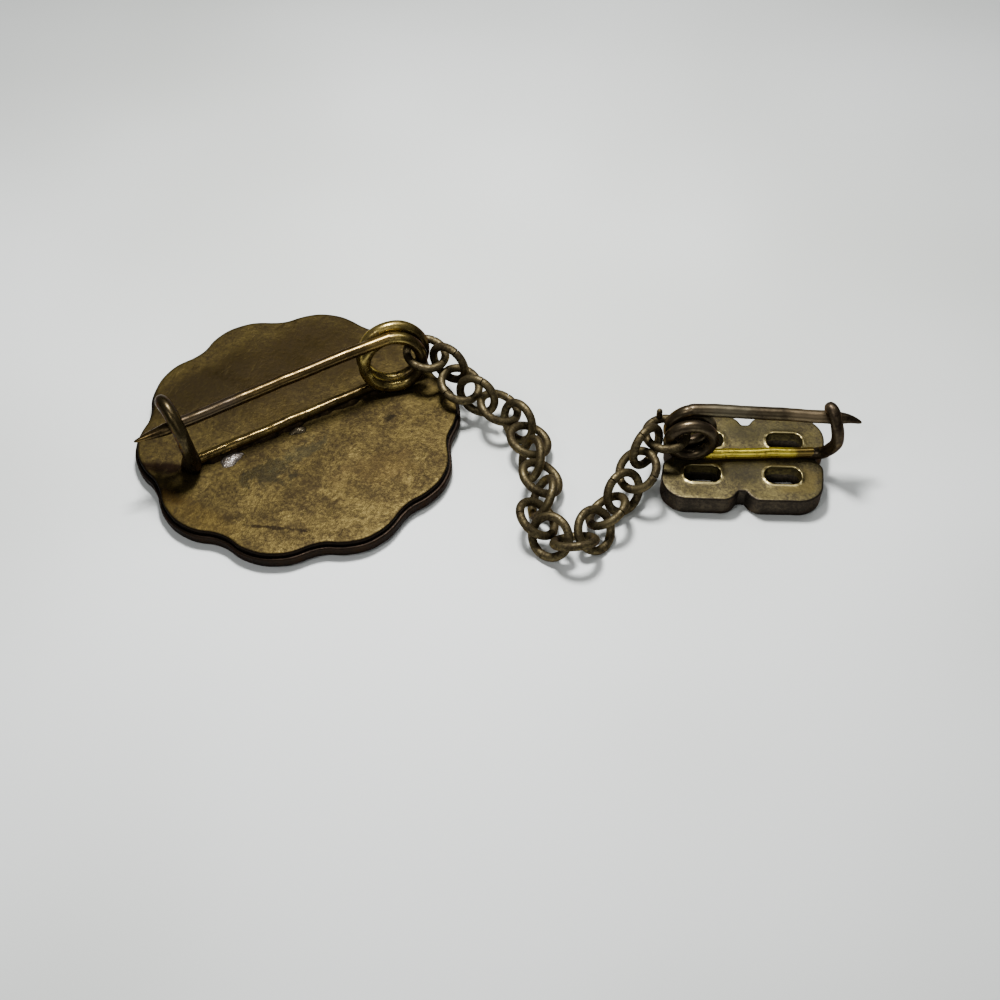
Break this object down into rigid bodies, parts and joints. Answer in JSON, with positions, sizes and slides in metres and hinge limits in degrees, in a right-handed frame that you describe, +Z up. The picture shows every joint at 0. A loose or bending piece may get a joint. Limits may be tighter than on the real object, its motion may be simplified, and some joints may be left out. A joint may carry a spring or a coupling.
{
  "type": "lapel pin",
  "caption": "Scalloped lapel pin lying face down, joined by a fine chain to a small four-lobed guard pin, each with a sprung pin and hook on its back.",
  "frame": {"origin": "middle of the badge's front face, on the surface that it lies on", "axes": "+X along the jewel from the badge to the guard, +Y away from the viewer, +Z up from the front face toward the back"},
  "size_m": [0.0409, 0.019, 0.0062],
  "materials": {
    "badge_brass": "aged satin",
    "stem_brass": "aged polished",
    "chain_brass": "aged polished",
    "guard_brass": "aged satin"
  },
  "bodies": {
    "jewel": {"badge": "badge_brass", "chain_link_01": "chain_brass", "chain_link_02": "chain_brass", "chain_link_03": "chain_brass", "chain_link_04": "chain_brass", "chain_link_05": "chain_brass", "chain_link_06": "chain_brass", "chain_link_07": "chain_brass", "chain_link_08": "chain_brass", "chain_link_09": "chain_brass", "chain_link_10": "chain_brass", "chain_link_11": "chain_brass", "chain_link_12": "chain_brass", "chain_link_13": "chain_brass", "chain_link_14": "chain_brass", "chain_link_15": "chain_brass", "chain_link_16": "chain_brass", "chain_link_17": "chain_brass", "chain_link_18": "chain_brass", "chain_link_19": "chain_brass", "guard": "guard_brass"},
    "badge_stem": {"badge_pin": "stem_brass"},
    "guard_stem": {"guard_pin": "stem_brass"}
  },
  "joints": [
    {"name": "badge_pin_press", "type": "hinge", "parent": "jewel", "child": "badge_stem", "pos_m": [0.00543, 0.0028, 0.00333], "axis": [0.2549, -0.9513, 0.1737], "range_deg": [0, 4.5], "stiffness_Nm_per_rad": 0.02},
    {"name": "guard_pin_press", "type": "hinge", "parent": "jewel", "child": "guard_stem", "pos_m": [0.0222, -0.00198, 0.00302], "axis": [0, 1, 0], "range_deg": [0, 8], "stiffness_Nm_per_rad": 0.02}
  ]
}
